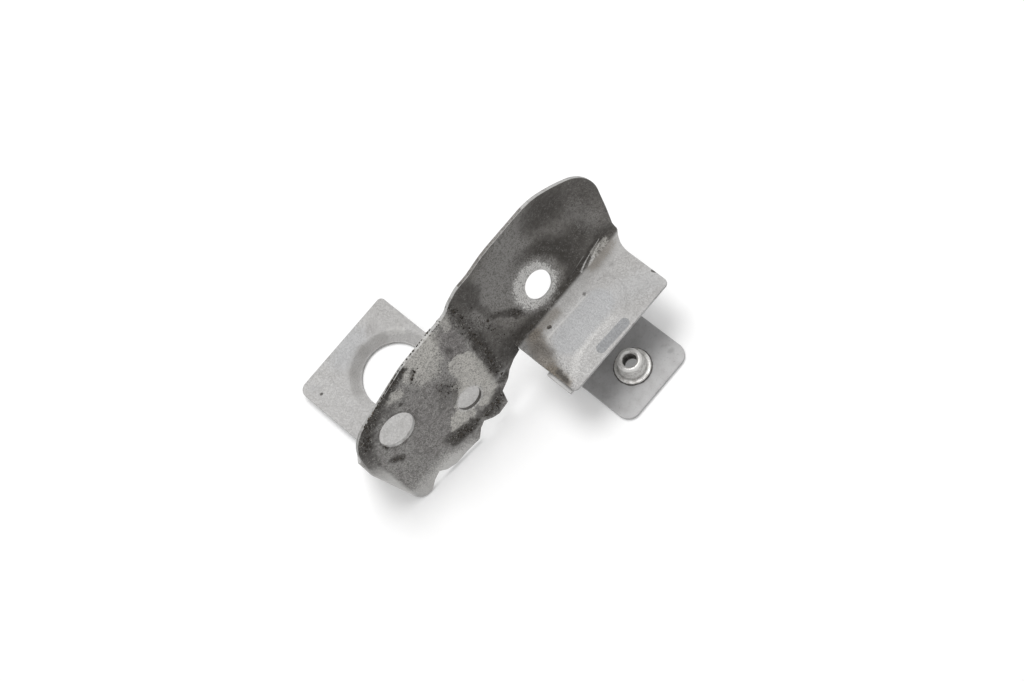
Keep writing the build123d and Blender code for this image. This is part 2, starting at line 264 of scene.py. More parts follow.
class BracketFinish(bpy.types.PropertyGroup):
    """Colours of the sheet metal and of the dirt on it."""

    # The paint colour also serves as painted light on the foot's outer end.
    paint: shade("Paint", "Clean grey paint of the tab and the flange", (0.48, 0.473, 0.466))
    # The cool paint also serves as painted shade on the flange's pressed panel.
    cool: shade("Cool paint", "Paint that was polished a little bluer", (0.42, 0.428, 0.44))
    # The strap colour also serves as painted light in the dish's middle and as painted shade on the tab's
    # dimple.
    strap: shade("Strap", "Weathered paint of the strap's near half", (0.315, 0.306, 0.295))
    dish: shade("Dish", "Weathered paint inside the dish", (0.195, 0.185, 0.17))
    mauve: shade("Mauve", "Paint with a faint reddish film", (0.215, 0.20, 0.196))
    # The dirt colour also serves as painted shade in the fold, over the dish's ends and near rim, round the
    # upper hole, round the nut's flange and in its bore.
    dirt: shade("Dirt", "Caked road dirt", (0.040, 0.035, 0.030))
    brown: shade("Brown", "Thin brown dirt", (0.16, 0.135, 0.105))
    imprint: shade("Imprint", "Sheet that a washer kept clean", (0.66, 0.64, 0.60))
    # The bright colour also serves as painted light on the near end, round the middle hole, along the
    # flange's panel and on the tab's dimple.
    bright: shade("Bright", "Sheet that is rubbed bright", (0.74, 0.73, 0.71))
    recess: shade("Recess", "Shallow recess by the flange's outer edge", (0.27, 0.275, 0.285))
    edge: shade("Edge", "Bare cut edge of the sheet", (0.50, 0.50, 0.49))
    foot: shade("Foot", "Duller paint of the foot plate", (0.45, 0.448, 0.45))
    nut: shade("Nut", "Plated steel of the weld nut", (0.8, 0.79, 0.77))
    edge_round: length("Edge round", "Rounding of the sheet's cut edges", 0.16)


class BracketDirt(bpy.types.PropertyGroup):
    """Crumbs of dirt caked onto the strap."""

    crumb: length("Crumb", "Usual radius of a crumb", 0.3)
    seed: IntProperty(name="Seed", description="Picks another scatter of the crumbs", default=7, min=0)
    share: FloatProperty(
        name="Share", description="Share of the crumbs that cling",
        default=1.0, min=0.0, max=1.0, subtype="FACTOR",
    )


class BracketNut(bpy.types.PropertyGroup):
    """Sizes of the weld nut's thread."""

    bore: length("Bore", "Radius at the thread's crests", 2.15)
    pitch: length("Pitch", "Pitch of the thread", 0.8)
    depth: length("Depth", "Depth of the thread", 0.42)


class BracketStage(bpy.types.PropertyGroup):
    """Floor and light of the studio."""

    floor: FloatProperty(name="Floor", description="Width of the floor", default=6.0, unit="LENGTH")
    key: FloatProperty(name="Key", description="Strength of the large soft lamp", default=4.4, unit="POWER")
    lamp: FloatProperty(name="Lamp", description="Width of the large soft lamp", default=0.42, unit="LENGTH")
    sky: FloatProperty(name="Sky", description="Light that comes evenly from all round", default=0.52)
    lens: FloatProperty(name="Lens", description="Focal length of the camera", default=66.8, unit="CAMERA")


# ---- Mesh tools ----
WELD_GAP = 0.002 * MM  # points closer than this are one
FLAT_WITHIN = 0.3  # degrees between faces that are joined into one
SHARP_OVER = 40  # degrees between faces whose edge is rounded
SMOOTH_UNDER = 22  # degrees between faces that are shaded as one
SKIN_GAP = 0.01 * MM  # rays start this far inside the surface
THROUGH = 1.4 * SHEET * MM  # a face with less metal than this behind it is no cut edge


def alone(piece):
    """Makes a piece the only one selected."""
    bpy.ops.object.select_all(action="DESELECT")
    piece.select_set(True)
    bpy.context.view_layer.objects.active = piece
    return piece


def cad_copy(node, name):
    """A welded copy of a solid's mesh, ready for rounding, that stands for it."""
    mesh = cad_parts[node].data.copy()
    mesh.name = name
    mesh.materials.clear()
    piece = bpy.data.objects.new(name, mesh)
    bpy.context.scene.collection.objects.link(piece)
    alone(piece)
    bpy.ops.object.mode_set(mode="EDIT")
    bpy.ops.mesh.select_all(action="SELECT")
    bpy.ops.mesh.remove_doubles(threshold=WELD_GAP)
    bpy.ops.mesh.dissolve_limited(angle_limit=math.radians(FLAT_WITHIN))
    bpy.ops.object.mode_set(mode="OBJECT")
    return piece


def round_edges(piece, width):
    """Rounds a piece's sharp edges, keeps it on the solid's surface and shades it smooth."""
    alone(piece)
    skin = BVHTree.FromObject(piece, bpy.context.evaluated_depsgraph_get())
    bevel = piece.modifiers.new("Edge round", "BEVEL")
    bevel.width = width
    bevel.segments = 2
    bevel.limit_method = "ANGLE"
    bevel.angle_limit = math.radians(SHARP_OVER)
    bevel.use_clamp_overlap = False
    bevel.harden_normals = False
    bpy.ops.object.modifier_apply(modifier=bevel.name)
    for vertex in piece.data.vertices:
        nearest, _, _, gap = skin.find_nearest(vertex.co)
        if gap > width:
            vertex.co = nearest
    bpy.ops.object.shade_smooth_by_angle(angle=math.radians(SMOOTH_UNDER))
    even = piece.modifiers.new("Even shading", "WEIGHTED_NORMAL")
    even.keep_sharp = True
    bpy.ops.object.modifier_apply(modifier=even.name)


def mark_cut_edges(piece):
    """Writes an attribute that is 1 on the faces that lie across the sheet's thickness."""
    mesh = piece.data
    cut = mesh.attributes.new("cut", "FLOAT", "FACE")
    skin = BVHTree.FromObject(piece, bpy.context.evaluated_depsgraph_get())
    mesh.calc_loop_triangles()
    largest = {}
    for triangle in mesh.loop_triangles:
        if triangle.area > largest.get(triangle.polygon_index, (0.0,))[0]:
            largest[triangle.polygon_index] = (triangle.area, triangle)
    for number, (_, triangle) in largest.items():
        middle = sum((mesh.vertices[i].co for i in triangle.vertices), Vector()) / 3
        inward = -triangle.normal
        _, _, _, depth = skin.ray_cast(middle + inward * SKIN_GAP, inward)
        if depth is None or depth > THROUGH:
            cut.data[number].value = 1.0


def carry(piece, slot, *nodes):
    """Sets a finished piece on the bracket's body, in the place of its solids."""
    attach(piece, "root")
    if nodes:
        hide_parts(*nodes)


# ---- Finishes ----
RING = (13.5, 8.9)  # middle of the washer's ring round the upper hole
RING_R = 6.8
CRISP = 0.35  # marks with softer outlines than this are uneven as well
GRAININESS = 3.4  # how far grains scatter at a mark's outline, against its soft width

# Each mark runs from one place to another, and has a radius, a soft width, a strength and a
# colour. Places on the strap are along it and up it, from the fold.
STRAP_MARKS = (
    # Near half: tones of the old paint.
    ((-20.8, 28.1), (-27.8, 26.9), 3.4, 2.5, 0.95, "imprint"),
    ((-23.8, 23.3), (-25.8, 21.1), 2.8, 3.0, 0.7, "imprint"),
    ((-15.4, 26.2), (-15.9, 19.2), 2.6, 1.4, 0.75, "mauve"),
    ((-12.5, 32.0), (-13.1, 28.0), 1.0, 1.0, 0.6, "imprint"),
    ((-32.8, 10.3), (-35.8, -0.1), 5.5, 4.5, 0.35, "mauve"),
    ((-38.6, 24.1), (-36.4, 22.8), 1.5, 1.2, 0.8, "imprint"),
    # The patch that a clip kept clean round the middle hole.
    ((-15.5, 12.7), (-15.3, -3.3), 2.4, 0.5, 0.8, "imprint"),
    ((-18.1, 13.9), (-18.8, -5.7), 3.0, 0.5, 0.8, "imprint"),
    ((-22.3, 5.9), (-27.3, -6.2), 2.6, 0.6, 0.85, "imprint"),
    ((-28.8, -3.3), (-30.6, -7.1), 2.4, 0.6, 0.9, "imprint"),
    # Dirt in dabs and dots.
    ((-26.3, 11.5), (-23.6, 8.3), 0.7, 2.6, 0.5, "dirt"),
    ((-27.3, 8.4), (-29.3, 4.6), 0.7, 2.6, 0.4, "dirt"),
    ((-24.4, 6.2), (-26.1, 2.0), 0.6, 0.8, 0.75, "dirt"),
    ((-28.4, 25.6), (-29.8, 23.6), 0.1, 0.9, 0.7, "dirt"),
    ((-17.8, 20.8), (-17.3, 19.6), 0.25, 0.8, 0.7, "dirt"),
    ((-48.9, 11.0), (-48.4, 9.9), 0.5, 0.5, 0.95, "dirt"),
    ((-50.5, 4.4), (-47.8, 2.1), 0.7, 0.9, 0.95, "dirt"),
    ((-54.1, 7.5), (-53.7, 6.8), 0.4, 0.5, 0.9, "dirt"),
    ((-37.5, 19.2), (-37.2, 18.9), 0.4, 0.5, 0.9, "dirt"),
    ((-44.8, 21.5), (-39.8, 20.6), 1.0, 2.0, 0.5, "dirt"),
    # Caked dirt along the near half's upper edge and by the torn edge.
    ((-30.4, 29.0), (-33.3, 28.1), 1.1, 1.0, 1.0, "dirt"),
    ((-33.3, 28.1), (-38.9, 26.6), 1.7, 0.9, 1.0, "dirt"),
    ((-41.0, 27.0), (-47.3, 23.4), 2.4, 1.8, 0.95, "dirt"),
    ((-47.3, 23.8), (-53.0, 16.6), 1.9, 2.2, 0.9, "dirt"),
    ((-53.0, 16.6), (-54.6, 9.3), 1.2, 2.2, 0.75, "dirt"),
    ((-28.4, -9.9), (-33.2, -9.3), 2.2, 1.6, 0.95, "dirt"),
    ((-33.2, -9.3), (-35.2, -7.1), 1.0, 1.6, 0.8, "dirt"),
    ((-16.1, -9.4), (-20.0, -11.8), 2.0, 1.6, 0.85, "dirt"),
    ((-20.0, -10.9), (-26.3, -9.7), 0.7, 1.6, 0.7, "dirt"),
    # The bend at the near end and the sheet below it stay clean, and are painted lighter than the paint as
    # painted light on the bend.
    ((-40.8, -16.8), (-53.3, -18.4), 3.2, 4.5, 0.55, "bright"),
    ((-34.0, -18.4), (-41.0, -17.4), 2.8, 3.0, 0.6, "bright"),
    # The jog holds coarse grains.
    ((-9.0, 33.3), (-9.7, 14.4), 0.9, 2.2, 0.75, "dirt"),
    ((-9.7, 14.4), (-11.5, -4.3), 1.6, 1.6, 0.95, "dirt"),
    ((-7.2, 26.0), (-5.5, 4.0), 2.4, 3.0, 0.45, "dirt"),
    ((-4.0, 0.5), (6.0, -2.5), 3.0, 3.5, 0.85, "dirt"),
    # Dish: paler in the middle, dark at both ends, along its near rim and under the edge; this is partly
    # dirt and partly painted light and shade of the dish's curve.
    ((2.0, 22.0), (13.0, 25.0), 5.0, 6.5, 0.75, "strap"),
    ((8.0, 20.0), (6.0, 13.0), 3.0, 5.0, 0.5, "strap"),
    ((15.0, 31.5), (23.0, 31.0), 2.5, 3.0, 0.55, "strap"),
    ((-3.8, 32.0), (-2.6, 27.0), 2.2, 3.0, 0.8, "dirt"),
    ((-3.0, 24.0), (-1.7, 15.0), 0.5, 1.3, 0.6, "dirt"),
    ((-1.7, 15.0), (3.4, 9.2), 0.35, 1.0, 0.85, "dirt"),
    ((3.2, 9.6), (5.4, 6.8), 0.9, 0.9, 0.9, "dirt"),
    ((26.5, 27.5), (31.0, 25.0), 3.2, 4.5, 0.7, "dirt"),
    ((33.0, 28.0), (40.0, 20.0), 4.0, 6.0, 0.4, "dirt"),
    ((35.5, 33.5), (31.0, 33.8), 1.4, 2.2, 0.55, "dirt"),
    ((22.5, 15.5), (26.5, 11.0), 1.6, 3.4, 0.75, "dirt"),
    ((28.0, 7.0), (33.0, 9.0), 2.5, 4.0, 0.75, "dirt"),
    ((37.5, 3.5), (40.5, -0.5), 1.6, 2.2, 0.6, "dirt"),
    ((36.0, 16.0), (38.0, 10.0), 1.6, 3.0, 0.3, "strap"),
    # The fold: a dark band, partly dirt and partly painted shade in the concave fold, with bright scratches
    # at its far end.
    ((-3.0, -1.6), (26.0, -0.6), 1.5, 1.6, 0.95, "dirt"),
    ((26.0, -0.6), (35.0, 1.4), 1.2, 1.8, 0.85, "dirt"),
    ((26.0, -0.2), (36.4, 2.3), 0.07, 0.18, 0.8, "bright"),
    ((22.0, -1.3), (32.0, -0.2), 0.06, 0.16, 0.7, "bright"),
    ((28.5, -0.6), (35.6, 0.9), 0.08, 0.22, 0.75, "bright"),
    ((24.0, 1.4), (29.6, 2.6), 0.04, 0.16, 0.45, "bright"),
    ((32.5, 0.6), (37.6, 0.4), 0.5, 0.9, 0.6, "imprint"),
)

# Places on the flange are across the strap and along it.
FLANGE_MARKS = (
    # Thin light lines along the edges of the pressed panel: rubbed paint, and painted highlights where the
    # edges catch the light.
    ((15.9, 21.8), (15.5, 5.0), 0.1, 0.34, 0.42, "bright"),
    ((12.2, 34.0), (12.4, 8.0), 1.2, 1.4, 0.35, "strap"),
    ((26.7, 21.5), (25.4, 13.0), 0.15, 1.3, 0.28, "bright"),
    ((25.4, 13.0), (25.8, 7.0), 0.15, 1.1, 0.4, "bright"),
    ((25.8, 7.0), (29.2, -0.6), 0.4, 1.8, 0.4, "bright"),
    ((27.5, 27.0), (30.0, 33.0), 1.5, 4.0, 0.35, "strap"),
    ((14.0, 28.0), (20.0, 36.0), 3.0, 4.0, 0.3, "strap"),
    # Painted shade: a cooler, darker tone over the pressed panel's slope, which faces away from the light.
    ((20.5, 8.0), (20.5, 22.0), 3.6, 1.6, 0.6, "cool"),
    ((23.0, 27.0), (28.0, 36.0), 1.5, 4.0, 0.25, "cool"),
    ((30.0, 12.0), (30.4, 21.8), 1.4, 0.2, 0.9, "recess"),
    ((13.9, 7.8), (13.7, 7.4), 0.42, 0.3, 0.95, "dirt"),
    ((15.3, 21.5), (15.3, 21.4), 0.3, 0.5, 0.7, "dirt"),
    ((15.9, 33.3), (15.8, 33.0), 0.1, 0.7, 0.3, "dirt"),
    ((27.4, 39.0), (26.6, 38.7), 0.25, 0.3, 0.9, "dirt"),
    ((11.0, 30.0), (10.6, 37.0), 1.4, 2.0, 0.6, "brown"),
    ((12.5, 2.5), (22.5, -2.2), 1.6, 2.2, 0.75, "brown"),
    ((22.5, -1.6), (28.6, -1.8), 0.8, 1.6, 0.8, "brown"),
    ((15.0, 1.2), (18.5, 1.8), 0.7, 1.6, 0.45, "dirt"),
    ((24.5, -0.8), (28.4, -1.5), 0.35, 0.8, 0.85, "dirt"),
    ((12.0, -1.5), (16.0, -2.4), 0.8, 2.0, 0.45, "dirt"),
    ((11.2, 3.0), (12.4, 12.0), 0.9, 1.6, 0.55, "brown"),
)
TAB_MARKS = (
    ((-37.9, -49.0), (-37.0, -48.4), 0.5, 1.2, 0.45, "foot"),
    ((-34.5, -48.9), (-34.4, -48.7), 0.25, 0.35, 0.9, "dirt"),
    ((-36.2, -25.0), (-36.2, -23.5), 0.8, 1.8, 0.3, "mauve"),
    ((-37.0, -36.0), (-38.5, -30.0), 2.0, 4.0, 0.5, "cool"),
    # Painted shade: dark arcs on the dimple's slope that faces away from the light, beside the tab's hole.
    ((-31.6, -24.6), (-33.6, -31.0), 0.9, 1.6, 0.5, "strap"),
    ((-33.6, -31.0), (-31.4, -37.6), 1.0, 1.6, 0.55, "strap"),
    ((-31.4, -37.6), (-26.4, -41.8), 0.6, 1.4, 0.4, "strap"),
    # Painted highlight: a light arc on the dimple's slope beyond the hole.
    ((-31.0, -21.0), (-28.0, -18.4), 0.5, 1.0, 0.4, "bright"),
    ((-39.0, -17.0), (-34.0, -17.0), 2.0, 5.0, 0.3, "strap"),
)


def sheet_finish(looks):
    """The bracket's sheet: clean paint on tab and flange, weathered and dirty on the strap."""
    g = Graph("weathered sheet")
    p = g.point()
    mottle = g.noise(p, 2.6, 5.0, 0.65)
    fine = g.noise(p, 0.42, 3.0, 0.75)
    grain = g.math("SUBTRACT", fine, 0.5)
    grit = g.cells(g.shaken(p, 0.8, 0.3), 0.75)
    x, u, z = (g.along(p, axis) for axis in ((1, 0, 0), (0, 1, 0), (0, 0, 1)))
    s = g.along(p, WALL_UP, WALL_ORIGIN)
    off_wall = g.math("ABSOLUTE", g.along(p, WALL_OUT, WALL_ORIGIN - WALL_OUT * SHEET))
    wall = g.flat(u, s)
    plan = g.flat(x, u)
    uneven = g.shaken(wall, 2.2, 1.3)
    uneven = g.shaken(uneven, 0.6, 0.5)

    # Strap: weathered paint, browner in the dish, under the marks of its use.
    in_dish = g.ramp(g.along(uneven, (1, 0, 0)), JOG_U - 0.5, JOG_U + 2.0)
    strap = g.blend(in_dish, looks.strap, looks.dish)
    strap = g.blend(g.math("MULTIPLY", g.ramp(mottle, 0.42, 0.66), 0.35), strap, looks.mauve)
    facing = g.vector("DOT_PRODUCT", g.node("ShaderNodeTexCoord").outputs["Normal"], tuple(WALL_OUT))
    front = g.ramp(facing, -0.3, 0.1)  # the marks of use are on the strap's upper face only
    strap = g.marks(strap, front, wall, uneven, grain, STRAP_MARKS, looks)

    # Upper hole: a dark halo on its far side, which is painted shade where the dish turns away from the
    # light, and below it the bright ring that a washer rubbed.
    from_upper = g.vector("DISTANCE", uneven, (*UPPER_HOLE, 0.0))
    painted_halo_shade = g.both(
        g.ramp(from_upper, 15.5, 12.0), g.ramp(from_upper, 8.4, 10.0), g.ramp(u, 8.0, 18.0), front
    )
    strap = g.blend(g.math("MULTIPLY", painted_halo_shade, 0.55), strap, looks.dirt)
    from_ring = g.vector("DISTANCE", uneven, (*RING, 0.0))
    grainy_ring = g.math("MULTIPLY_ADD", grain, 7.0, from_ring)
    from_end = g.vector("DISTANCE", uneven, (*END_HOLE, 0.0))
    strap = g.blend(g.both(g.ramp(from_end, END_HOLE_R + 1.3, END_HOLE_R + 0.2), 0.45), strap, looks.dirt)
    # Painted highlight: a bright ring round the middle hole, where its edge catches the light.
    from_middle = g.vector("DISTANCE", wall, (*MIDDLE_HOLE, 0.0))
    middle_rim_glint = g.ramp(from_middle, MIDDLE_HOLE_R + 1.0, MIDDLE_HOLE_R + 0.2)
    strap = g.blend(g.both(middle_rim_glint, front, 0.75), strap, looks.bright)

    # Grains of dirt everywhere, and coarse ones by the jog and the fold.
    coarse_zone = g.either(
        g.stroke(uneven, (-9.4, 32.0), (-10.6, -2.0), 1.5, 3.0),
        g.both(g.stroke(uneven, (-6.0, 2.0), (4.0, -2.0), 4.0, 5.0), 0.8),
        g.both(g.stroke(uneven, (-24.0, 9.0), (-29.0, 12.0), 2.0, 5.0), 0.7),
        g.both(g.stroke(uneven, (-28.0, 26.0), (-38.0, 26.0), 1.5, 4.0), 0.6),
        g.both(g.stroke(uneven, (-30.0, -8.0), (-46.0, 2.0), 2.0, 6.0), 0.5),
    )
    coarse = g.both(g.ramp(grit, 0.36, 0.2), coarse_zone)
    clean = g.stroke(uneven, (-36.0, -16.5), (-53.3, -17.5), 3.0, 6.0)
    specks = g.both(g.ramp(fine, 0.49, 0.64), g.math("MULTIPLY_ADD", clean, -0.5, 0.6))
    medium = g.noise(p, 1.3, 3.0, 0.6)
    patches = g.both(g.ramp(medium, 0.5, 0.68), g.math("MULTIPLY_ADD", clean, -0.32, 0.36))
    strap = g.blend(patches, strap, looks.dirt)
    sheen = g.both(g.ramp(fine, 0.48, 0.38), g.ramp(medium, 0.6, 0.4), 0.45)
    strap = g.blend(g.either(g.both(coarse, 0.9), specks), strap, looks.dirt)
    strap = g.blend(sheen, strap, g.blend(in_dish, looks.imprint, looks.strap))
    ring = g.ramp(grainy_ring, RING_R + 2.6, RING_R + 0.8)
    strap = g.blend(g.both(ring, front, 0.7), strap, looks.strap)
    rubbed = g.ramp(grainy_ring, RING_R + 0.5, RING_R - 0.5)
    strap = g.blend(g.both(rubbed, g.ramp(fine, 0.66, 0.48), front, 0.95), strap, looks.bright)

    # Tab and flange: clean paint with faint stains.
    paint = g.blend(g.both(g.ramp(mottle, 0.46, 0.7), 0.3), looks.paint, looks.strap)
    paint = g.blend(g.both(g.ramp(fine, 0.5, 0.66), 0.28), paint, looks.strap)
    paint = g.blend(g.both(g.ramp(fine, 0.46, 0.36), 0.25), paint, looks.bright)
    rough_plan = g.shaken(plan, 1.4, 0.7)
    high = g.ramp(z, FLANGE_Z - 4.0, FLANGE_Z - 3.0)
    paint = g.marks(paint, high, plan, rough_plan, grain, FLANGE_MARKS, looks)
    low = g.ramp(z, 5.0, 4.0)
    paint = g.marks(paint, low, plan, rough_plan, grain, TAB_MARKS, looks)
    corner_zone = g.both(g.stroke(rough_plan, (11, 2), (28, -3), 2.4, 3.0), high)
    paint = g.blend(g.both(g.ramp(fine, 0.46, 0.62), corner_zone, 0.5), paint, looks.dirt)

    on_flange = g.both(g.ramp(x, FOLD_X + 0.7, FOLD_X + 2.0), high)
    on_tab = g.both(g.ramp(z, 8.0, 4.5), g.ramp(off_wall, 1.6, 3.4))
    end_wall_painted_light = g.both(g.ramp(u, -53.0, -54.6), g.ramp(s, 12.0, -4.0))
    base = g.blend(g.either(on_tab, on_flange), strap, paint)
    # Painted light: the near end wall, which faces away from the lamp, is lightened towards the bright
    # colour.
    base = g.blend(g.both(end_wall_painted_light, 0.8), base, looks.bright)

    # Cut edges: bare and bright, but dark where the sheet tore.
    cut = g.node("ShaderNodeAttribute", attribute_name="cut").outputs["Fac"]
    torn = g.both(
        g.ramp(off_wall, 4.4, 3.2), g.ramp(s, 1.0, -3.0), g.ramp(u, -52.0, -50.0), g.ramp(u, 0.0, -3.0)
    )
    bare = g.blend(g.ramp(mottle, 0.5, 0.62), looks.edge, looks.strap)
    base = g.blend(g.both(cut, 0.7), base, bare)
    base = g.blend(g.both(cut, torn, 0.92), base, looks.dirt)

    dirty = g.either(g.both(coarse, 1.0), g.both(specks, 0.6))
    waves = g.noise(p, 8.0, 1.0)
    height = g.math("MULTIPLY_ADD", dirty, 1.6, g.math("MULTIPLY_ADD", fine, 0.8, mottle))
    height = g.math("MULTIPLY_ADD", waves, 4.0, height)
    normal = g.bump(height, 0.085 * MM, 0.9)
    rough = g.math("MULTIPLY_ADD", dirty, 0.25, g.math("MULTIPLY_ADD", mottle, 0.35, 0.36))
    return g.finish(Base_Color=base, Roughness=rough, Specular_IOR_Level=0.4, Normal=normal)


def foot_finish(looks, nut_place):
    """Duller paint, with painted contact shade round the weld nut's flange."""
    g = Graph("foot paint")
    p = g.point()
    mottle = g.noise(p, 3.2, 4.0, 0.6)
    fine = g.noise(p, 0.6, 3.0, 0.65)
    x, u, z = (g.along(p, axis) for axis in ((1, 0, 0), (0, 1, 0), (0, 0, 1)))
    plan = g.flat(x, u)
    uneven = g.shaken(plan, 1.2, 0.35)
    base = g.blend(g.both(g.ramp(mottle, 0.42, 0.72), 0.3), looks.foot, looks.mauve)
    # Painted light: the paint lightens towards the foot's outer end, away from the flange's shadow.
    base = g.blend(g.both(g.ramp(x, 34.0, 46.0), 0.35), base, looks.paint)
    from_nut = g.vector("DISTANCE", uneven, (*nut_place, 0.0))
    # Painted shade: a dark ring where the nut's flange sits on the plate.
    nut_contact_shade = g.both(g.ramp(from_nut, NUT_FLANGE_R + 0.55, NUT_FLANGE_R + 0.2), g.ramp(z, 6.0, 5.0))
    base = g.blend(g.both(nut_contact_shade, 0.85), base, looks.dirt)
    base = g.blend(g.both(g.stroke(uneven, (40.7, 26.7), (40.4, 26.0), 0.2, 0.9), 0.25), base, looks.dirt)
    base = g.blend(g.both(g.ramp(fine, 0.57, 0.7), 0.25), base, looks.dirt)
    base = g.blend(g.both(g.ramp(z, 9.0, 13.0), 0.8), base, looks.paint)
    height = g.math("MULTIPLY_ADD", fine, 0.6, mottle)
    rough = g.math("MULTIPLY_ADD", mottle, 0.3, 0.4)
    normal = g.bump(height, 0.06 * MM, 0.8)
    return g.finish(Base_Color=base, Roughness=rough, Specular_IOR_Level=0.4, Normal=normal)


def nut_finish(looks, nut_place):
    """Worn plating: bright on the rounded mouth, dirty below it, and darkened in the bore as painted shade.
    """
    g = Graph("nut plating")
    p = g.point()
    mottle = g.noise(p, 1.6, 4.0, 0.65)
    fine = g.noise(p, 0.4, 3.0, 0.6)
    x, u, z = (g.along(p, axis) for axis in ((1, 0, 0), (0, 1, 0), (0, 0, 1)))
    from_axis = g.vector("DISTANCE", g.flat(x, u), (*nut_place, 0.0))
    top = SHEET + NUT_H
    worn = g.both(g.ramp(z, top - 1.3, top - 0.3), g.ramp(from_axis, 2.4, 2.8))
    base = g.blend(g.both(g.ramp(mottle, 0.42, 0.62), 0.4), looks.nut, looks.brown)
    base = g.blend(g.both(worn, 0.85), base, looks.bright)
    # Painted shade: the bore's wall darkens below the mouth.
    bore_shade = g.both(g.ramp(from_axis, 2.75, 2.5), g.ramp(z, top - 0.2, top - 1.4))
    base = g.blend(g.both(bore_shade, 0.8), base, looks.dirt)
    foot_dirt = g.both(g.ramp(z, SHEET + 2.2, SHEET + 0.9), g.ramp(from_axis, 4.9, 4.3))
    base = g.blend(g.both(foot_dirt, 0.4), base, looks.dirt)
    base = g.blend(g.both(g.ramp(fine, 0.56, 0.7), 0.35), base, looks.dirt)
    rough = g.math("MULTIPLY_ADD", mottle, 0.35, 0.2)
    normal = g.bump(g.math("MULTIPLY_ADD", fine, 0.6, mottle), 0.05 * MM, 0.8)
    return g.finish(
        Base_Color=base, Roughness=rough, Metallic=0.25, Specular_IOR_Level=0.5, Normal=normal
    )


def grit_finish(looks):
    """Dry crumbs of road dirt, some of them paler."""
    g = Graph("road grit")
    p = g.point()
    lump = g.noise(p, 0.9, 2.0)
    fine = g.noise(p, 0.15, 3.0)
    base = g.blend(g.both(g.ramp(lump, 0.5, 0.66), 0.5), looks.dirt, looks.brown)
    rough = g.math("MULTIPLY_ADD", lump, 0.2, 0.75)
    normal = g.bump(fine, 0.04 * MM, 0.8)
    return g.finish(Base_Color=base, Roughness=rough, Specular_IOR_Level=0.2, Normal=normal)


# ---- Pieces ----
class BRACKET_OT_sheet(bpy.types.Operator):
    """Dresses the folded sheet: rounded cut edges, weathered paint and dirt"""

    bl_idname = "bracket.sheet"
    bl_label = "Dress the sheet"

    def execute(self, context):
        looks = context.scene.bracket_finish
        piece = cad_copy("bracket", "bracket_sheet")
        round_edges(piece, looks.edge_round)
        mark_cut_edges(piece)
        piece.data.materials.append(sheet_finish(looks))
        carry(piece, "dirty_steel", "bracket")
        return {"FINISHED"}


class BRACKET_OT_foot(bpy.types.Operator):
    """Dresses the foot plate with its duller paint"""

    bl_idname = "bracket.foot"
    bl_label = "Dress the foot plate"

    def execute(self, context):
        looks = context.scene.bracket_finish
        piece = cad_copy("foot_plate", "foot_plate_sheet")
        round_edges(piece, looks.edge_round)
        piece.data.materials.append(foot_finish(looks, NUT_AT))
        carry(piece, "painted_steel", "foot_plate")
        return {"FINISHED"}


NUT_TURNS = 72  # faces round the weld nut
THREAD_ROWS = 8  # rows of points for each turn of the thread
THREAD_FADE = 0.5  # the thread starts and ends over this length
THREAD_CLEAR = 0.3  # and this far from the chamfers
NUT_SMOOTH_UNDER = 30  # degrees
RIM_EASE = 0.15  # chamfer of the nut's flange, below
RIM_ROUND = 0.2  # and above
NECK_RUN = 0.45  # width of the fillet between flange and body
NECK_RISE = 0.5  # its height
NECK_BEND = (0.12, 0.14)  # its middle, out from the body and up from the flange
MOUTH_STEPS = 8  # faces of the rounded mouth


def nut_profile(bore, pitch):
    """The weld nut's half section as (radius, height) points, up its outside and down its bore."""
    outside = [(bore + NUT_LEAD, 0.0), (NUT_FLANGE_R - RIM_EASE, 0.0), (NUT_FLANGE_R, RIM_EASE)]
    outside += [(NUT_FLANGE_R, NUT_FLANGE_T - RIM_ROUND), (NUT_FLANGE_R - RIM_ROUND, NUT_FLANGE_T)]
    outside += [(NUT_FOOT_R + NECK_RUN, NUT_FLANGE_T)]
    outside += [(NUT_FOOT_R + NECK_BEND[0], NUT_FLANGE_T + NECK_BEND[1])]
    outside += [(NUT_FOOT_R, NUT_FLANGE_T + NECK_RISE)]
    for step in range(MOUTH_STEPS + 1):
        turn = math.radians(90 * step / MOUTH_STEPS)
        radius = NUT_TOP_R - NUT_ROUND * (1 - math.cos(turn))
        outside.append((radius, NUT_H - NUT_ROUND * (1 - math.sin(turn))))
    outside += [(bore + NUT_LEAD, NUT_H)]
    threaded = NUT_H - 2 * NUT_LEAD
    rows = round(threaded / pitch * THREAD_ROWS)
    inside = [(bore, NUT_H - NUT_LEAD - threaded * row / rows) for row in range(rows + 1)]
    return outside + inside


